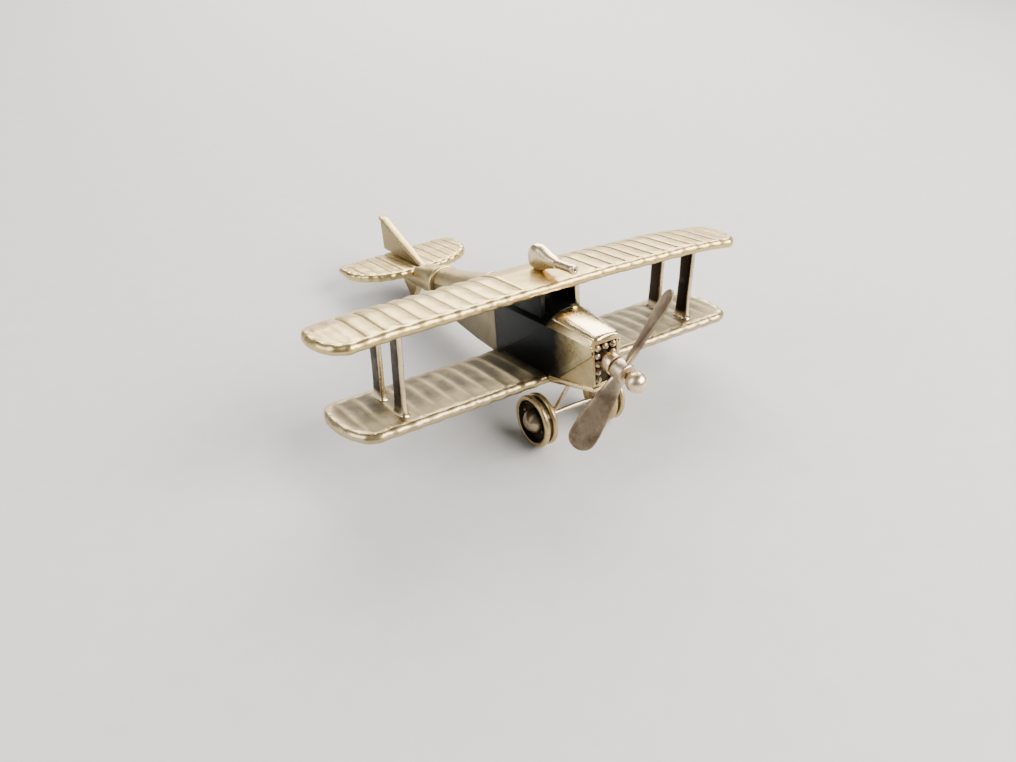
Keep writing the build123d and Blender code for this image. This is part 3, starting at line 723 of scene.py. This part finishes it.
def propeller():
    """A sleeve of a hub with two blades, one piece."""
    front, back = -0.84, 0.84
    outline = [(front, 0.45), (front, 1.02), (front + 0.14, 1.13), (0, 1.15)]
    outline += [(back - 0.14, 1.13), (back, 1.02), (back, 0.45), (front, 0.45)]
    hub = on_shaft(revolved(rounded(outline, 0.12), (0, 0, 0), (0, 1, 0), 48))
    tubes = [hub, blade(PROP_ANGLE), blade(PROP_ANGLE + math.pi)]
    tarnish_and_shade = np.concatenate((np.zeros(hub[..., 0].size), blade_darkening_and_edge_highlight(), blade_darkening_and_edge_highlight()))
    data = joined_skins("propeller", tubes, (False, True, True), 60, tarnish_and_shade)
    add_piece("propeller", data, BROWN, "propeller")


def propeller_pin():
    """Pin whose front end was melted into a ball."""
    arc = np.linspace(0.02, 2.72, 34)
    ball = [(-2.14 - 1.1 * math.cos(a), 1.1 * math.sin(a)) for a in arc]
    profile = ball + [(-0.9, 0.38), (4.5, 0.38)]
    sections = on_shaft(revolved(profile, (0, 0, 0), (0, 1, 0), 56))
    add_piece("propeller_pin", skin("propeller_pin", sections), BALL)


# Wheels and undercarriage.


WHEEL_X = 3.75
CAP_X = 4.8
AXLE_END = 4.84
RIM_TURNS = np.radians(np.linspace(205, -25, 12))


def wheel(side, sign):
    """Turned wheel: two rolled rims with a groove between them, a dished disc and a boss inside."""
    profile = [(-0.3, 0.35), (-0.3, 0.65), (0.12, 0.8), (0.4, 1.1), (0.4, 2.15), (0.03, 2.4)]
    for centre in (0.35, 1.4):
        profile += [(centre + 0.34 * math.cos(a), 2.65 + 0.34 * math.sin(a)) for a in RIM_TURNS]
    profile += [(1.6, 2.4), (1.2, 2.28), (0.95, 2.1), (0.9, 1.6), (0.9, 0.35), (-0.3, 0.35)]
    profile = rounded(profile, 0.08, 3)
    centre = np.array((sign * WHEEL_X, 0, 0)) + AXLE
    sections = wobbled(revolved(profile, centre, (sign, 0, 0), 96), 0.03, 1.4, sign)
    depth, radius = profile.T
    # Painted shade in the deep dish inside the rims and in the groove between the two rims.
    shade = 0.9 * (depth > 0.5) * (radius < 2.42) + 0.6 * (np.abs(depth - 0.875) < 0.2)
    data = skin("wheel_" + side, sections, 60, False, np.repeat(shade, 96))
    add_piece("wheel_" + side, data, WARM, "wheel_" + side)


def hub_cap(side, sign):
    """Big rivet head with a hammered, slightly pointed dome."""
    turns = np.linspace(0.08, math.pi / 2 - 0.02, 18)
    profile = [(0.0, 0.0), (0.0, 1.3)]
    profile += [(1.38 * math.sin(a) ** 1.1, 1.39 * math.cos(a) ** 0.9) for a in turns]
    centre = np.array((sign * CAP_X, 0, 0)) + AXLE
    dome = wobbled(revolved(profile, centre, (sign, 0, 0), 48), 0.07, 0.8, sign)
    height = np.array(profile)[:, 0]
    # Painted shade round the foot of the dome, leaving its top bright as a painted highlight.
    tarnish_and_shade = np.repeat(0.85 * (1 - smooth_step(height, 0.1, 0.9)), 48)
    add_piece("hub_cap_" + side, skin("hub_cap_" + side, dome, tarnish_and_shade=tarnish_and_shade), CAP)


def wire(cad_node, path, radius):
    """Slightly uneven round wire along a path, with domed ends."""
    path = rounded(path, 0.5, 6)
    lengths = np.concatenate(([0], np.cumsum(np.linalg.norm(np.diff(path, axis=0), axis=1))))
    stations = np.linspace(0, lengths[-1], 24)
    centres = np.stack([np.interp(stations, lengths, path[:, k]) for k in range(3)], -1)
    last = len(centres) - 1
    c, s = ring(20)
    sections = []
    for index, centre in enumerate(centres):
        ahead = centres[min(index + 1, last)] - centres[max(index - 1, 0)]
        ahead = ahead / np.linalg.norm(ahead)
        across = np.cross(ahead, (0.2, 0.5, 1.0))
        across /= np.linalg.norm(across)
        size = radius * (0.7 if index in (0, last) else 1.0)
        sections.append(centre + size * (np.outer(c, across) + np.outer(s, np.cross(ahead, across))))
    sections = wobbled(np.array(sections), 0.035, 1.5, radius)
    add_piece(cad_node, skin(cad_node, sections), WIRE)


def undercarriage():
    wire("axle", [AXLE - (AXLE_END, 0, 0), AXLE, AXLE + (AXLE_END, 0, 0)], 0.3)
    for side, sign in SIDES:
        wheel(side, sign)
        hub_cap(side, sign)
        foot, head = np.array((sign * 3.1, -0.45, -13.6)), np.array((sign * 2.1, -3.0, -9.0))
        bend = foot * 0.6 + head * 0.4 + (0, -0.1, 0)
        wire("leg_" + side, [foot, bend, head], 0.25)


# Tail cone, fin and gun.


def tail_cone():
    """Round sleeve with a rolled rim in front and a closed end, flattened under the tailplane."""
    turns = np.radians(np.linspace(200, -20, 12))
    profile = [(26.42, 1.2), (26.42, 2.0)]
    profile += [(26.71 + 0.29 * math.cos(a), 2.15 + 0.28 * math.sin(a)) for a in turns]
    profile += [(27.2, 2.1), (29, 1.96), (31.2, 1.79), (33.4, 1.62), (35.6, 1.45)]
    profile += [(36.9, 1.3), (36.98, 0.3)]
    c, s = ring(56)
    sections = []
    for y, radius in profile:
        centre = -6.0 - 0.6 * (y - 26.4) / 10.6
        top = np.minimum(centre + radius * c, -5.2 if y > 32.6 else 9.0)
        sections.append(np.stack((radius * s, np.full(56, y), top), -1))
    data = skin("tail_cone", wobbled(np.array(sections), 0.03, 2.0, 9.0), sharp=70)
    add_piece("tail_cone", data, WARM)


FIN_FOOT = np.array((31.9, -4.98))
FIN_HEAD = np.array((42.95, -0.2))
FIN_BACK_Y = 44.05
FIN_STEPS = 20
FIN_NOSE = 0.75 * (1 - np.cos(np.linspace(0, np.pi / 2, 8)))
FIN_NOSE_STEPS = np.append(FIN_NOSE, (0.95, 1.2, 1.5, 1.9, 2.4))


def fin_section(t):
    """Section of the fin at a share of its height: a round bar in front that thins to a plate."""
    front_y, z = FIN_FOOT + (FIN_HEAD - FIN_FOOT) * t
    length = FIN_BACK_Y - 0.35 * max(0.0, (t - 0.9) / 0.1) ** 2 - front_y
    end = math.sqrt(max(0.02, 1 - max(0.0, (t - 0.94) / 0.06) ** 2))
    behind = np.linspace(length * 0.82, length, 6)
    steps = np.append(FIN_NOSE_STEPS[FIN_NOSE_STEPS < length * 0.8], behind)
    steps = np.interp(np.linspace(0, 1, FIN_STEPS), np.linspace(0, 1, len(steps)), steps)
    round_edge = 0.5 + 0.22 * smooth_step(t, 0.0, 0.5)
    nose = np.clip(steps / round_edge - 1, -1, 1)
    bar = round_edge * np.sqrt(np.clip(1 - nose**2, 0, None))
    thinned = 1 - 0.45 * smooth_step(steps, length * 0.6, length)
    half = np.maximum(bar, 0.36 * smooth_step(steps, 0.4, 1.2) * thinned) * end
    half[-1] = 0.12 * end
    one = np.stack((half, front_y + steps, np.full(FIN_STEPS, z)), -1)
    return np.concatenate((one, (one * (-1, 1, 1))[::-1]))


def fin():
    """Fin of cast metal: a thick round leading edge that thins to a flat plate."""
    stations = np.concatenate((np.linspace(0, 0.94, 22), round_end(0.94, 0.06, 0.3, 5)))
    sections = np.array([fin_section(t) for t in stations])
    sides = np.concatenate((np.linspace(0, 1, FIN_STEPS), np.linspace(1, 0, FIN_STEPS)))
    # Painted shade on the flat plate behind the round leading edge.
    tarnish_and_shade = np.tile(0.45 * smooth_step(sides, 0.25, 0.5), len(sections))
    data = skin("fin", wobbled(sections, 0.03, 2.0, 4.0), sharp=60, tarnish_and_shade=tarnish_and_shade)
    add_piece("fin", data, SATIN)


GUN_Z = 2.62
BREECH = (  # y, centre height, half width, half height
    (5.95, 2.35, 0.12, 0.3),
    (5.85, 2.4, 0.48, 0.85),
    (5.5, 2.5, 0.74, 1.25),
    (4.9, 2.6, 0.86, 1.46),
    (4.2, 2.63, 0.86, 1.44),
    (3.6, 2.63, 0.8, 1.26),
    (3.0, GUN_Z, 0.76, 1.04),
    (2.4, GUN_Z, 0.7, 0.86),
    (1.8, GUN_Z, 0.63, 0.72),
    (1.2, GUN_Z, 0.55, 0.6),
)


def gun_breech():
    """Teardrop that narrows into the barrel."""
    c, s = ring(36)
    sections = []
    for y, z, wide, high in eased(BREECH, 5):
        sections.append(np.stack((wide * blunted(c, 0.8), 0 * c + y, z + high * blunted(s, 0.8)), -1))
    data = skin("gun_breech", wobbled(np.array(sections), 0.04, 2.5, 2.0))
    add_piece("gun_breech", data, GUN)


def gun_barrel():
    """Short barrel with a thick muzzle and a small bore."""
    profile = [(-3.1, 0.3), (-1.5, 0.52), (0.9, 0.52), (1.2, 0.54), (1.5, 0.55), (1.72, 0.52)]
    profile += [(1.8, 0.42), (1.82, 0.2), (1.76, 0.13), (0.4, 0.12), (0.39, 0.0)]
    barrel = revolved(rounded(profile, 0.06, 3), (0, 0, GUN_Z), (0, -1, 0), 36)
    add_piece("gun_barrel", skin("gun_barrel", barrel), GUN)


# Flat and folded sheets keep their CAD shape, with broken edges. Each shade below says how much painted
# shade such a sheet carries at a place.


def nose_shade(place):
    """The side sheets carry painted shade, darkest along the flat of the body and fading out towards the
    nose.
    """
    return float(np.clip((place[1] + 5.0) / 4.0, 0, 1))


def pocket_shade(place):
    """The recess in the front face is painted black as shade."""
    x, y, z = place
    return float(abs(x) < 1.5 and -6.3 < y < -5.8)


def cabane_shade(place):
    """The left cabane plate is painted dark with shade but for its front edge, which stays bright."""
    return float(place[1] > 1.03)


# Painted shade over the whole sheet.
def shaded_everywhere(place):
    return 1.0


PLATES = (  # CAD node, material, slot, shade
    ("body_side_left", SIDE, "polished_silver", nose_shade),
    ("aft_side_left", AFT, "satin_silver", None),
    ("body_side_right", SIDE, "polished_silver", nose_shade),
    ("aft_side_right", AFT, "satin_silver", None),
    ("cabane_plate_left", SIDE, "dark_silver", cabane_shade),
    ("cabane_plate_right", SIDE, "dark_silver", shaded_everywhere),
    ("nose_block", WARM, "satin_silver", pocket_shade),
    ("chin_plate", POLISHED, "polished_silver", None),
    ("forward_deck", SIDE, "satin_silver", shaded_everywhere),
    ("aft_deck", WARM, "satin_silver", None),
    ("belly_plate", WARM, "satin_silver", None),
    ("cockpit_rim", SATIN, "satin_silver", None),
    ("tail_skid", WARM, "satin_silver", None),
    ("propeller_spacer", BALL, "dark_silver", None),
)


# Floor, lights and camera.

CAMERA_PLACE = (-51.337, -70.446, 31.552)  # in the aircraft's level frame, in millimetres
CAMERA_AZIMUTH = math.radians(-31.665)
CAMERA_ELEVATION = math.radians(25.553)
CAMERA_ROLL = math.radians(-4.328)
CAMERA_LENS = 31.175  # millimetres, on a sensor 36 mm wide


def floor_material():
    """Matt grey with a fine grain."""
    material = bpy.data.materials.new("pale_floor")
    material.use_nodes = True
    tree = material.node_tree
    shader = tree.nodes["Principled BSDF"]
    shader.inputs["Roughness"].default_value = 0.7
    grain = node(tree, "ShaderNodeTexNoise", Scale=900.0, Detail=3.0)
    tone = node(tree, "ShaderNodeMapRange")
    tone.inputs["To Min"].default_value = 0.5
    tone.inputs["To Max"].default_value = 0.56
    tree.links.new(grain.outputs["Fac"], tone.inputs["Value"])
    tree.links.new(tone.outputs["Result"], shader.inputs["Base Color"])
    return material


def floor():
    reach = 1.2
    data = bpy.data.meshes.new("floor")
    corners = [(-reach, -reach, 0), (reach, -reach, 0), (reach, reach, 0), (-reach, reach, 0)]
    data.from_pydata(corners, [], [(0, 1, 2, 3)])
    data.materials.append(floor_material())
    ground = bpy.data.objects.new("floor", data)
    bpy.context.scene.collection.objects.link(ground)


def area_light(name, place, size, power, colour=(1, 1, 1)):
    lamp = bpy.data.lights.new(name, "AREA")
    lamp.shape = "RECTANGLE"
    lamp.size, lamp.size_y = size
    lamp.energy = power
    lamp.color = colour
    holder = bpy.data.objects.new(name, lamp)
    bpy.context.scene.collection.objects.link(holder)
    holder.location = place
    aim = Vector((0, -0.005, 0.01)) - Vector(place)
    holder.rotation_euler = aim.to_track_quat("-Z", "Y").to_euler()


def lights():
    area_light("back_softbox", (0.16, 0.24, 0.2), (0.34, 0.2), 3.0, (1.0, 0.95, 0.87))
    area_light("front_softbox", (0.15, -0.19, 0.2), (0.3, 0.16), 3.2, (1.0, 0.95, 0.87))
    area_light("side_softbox", (-0.22, 0.06, 0.12), (0.12, 0.16), 0.5, (0.97, 0.98, 1.0))
    world = bpy.data.worlds.new("studio")
    world.use_nodes = True
    world.node_tree.nodes["Background"].inputs["Color"].default_value = (0.55, 0.56, 0.58, 1)
    world.node_tree.nodes["Background"].inputs["Strength"].default_value = 0.4
    bpy.context.scene.world = world


def camera():
    a, e, r = CAMERA_AZIMUTH, CAMERA_ELEVATION, CAMERA_ROLL
    back = np.array((math.sin(a) * math.cos(e), -math.cos(a) * math.cos(e), math.sin(e)))
    right = np.array((math.cos(a), math.sin(a), 0.0))
    up = np.cross(back, right)
    tilted_right = math.cos(r) * right + math.sin(r) * up
    tilted_up = math.cos(r) * up - math.sin(r) * right
    columns = [turned(v) for v in (tilted_right, tilted_up, back)]
    eye = bpy.data.cameras.new("camera")
    eye.sensor_width = 36.0
    eye.lens = CAMERA_LENS
    eye.clip_start = 0.005
    eye.clip_end = 10.0
    holder = bpy.data.objects.new("camera", eye)
    bpy.context.scene.collection.objects.link(holder)
    matrix = Matrix.Identity(4)
    for index, column in enumerate(columns):
        for line in range(3):
            matrix[line][index] = column[line]
    matrix.translation = Vector(row(CAMERA_PLACE))
    holder.matrix_world = matrix
    bpy.context.scene.camera = holder


upper_wing()
lower_wing()
tailplane()
struts()
hood()
beads()
for plate in PLATES:
    bevelled_copy(*plate)
propeller()
propeller_pin()
undercarriage()
tail_cone()
fin()
gun_breech()
gun_barrel()
floor()
lights()
camera()
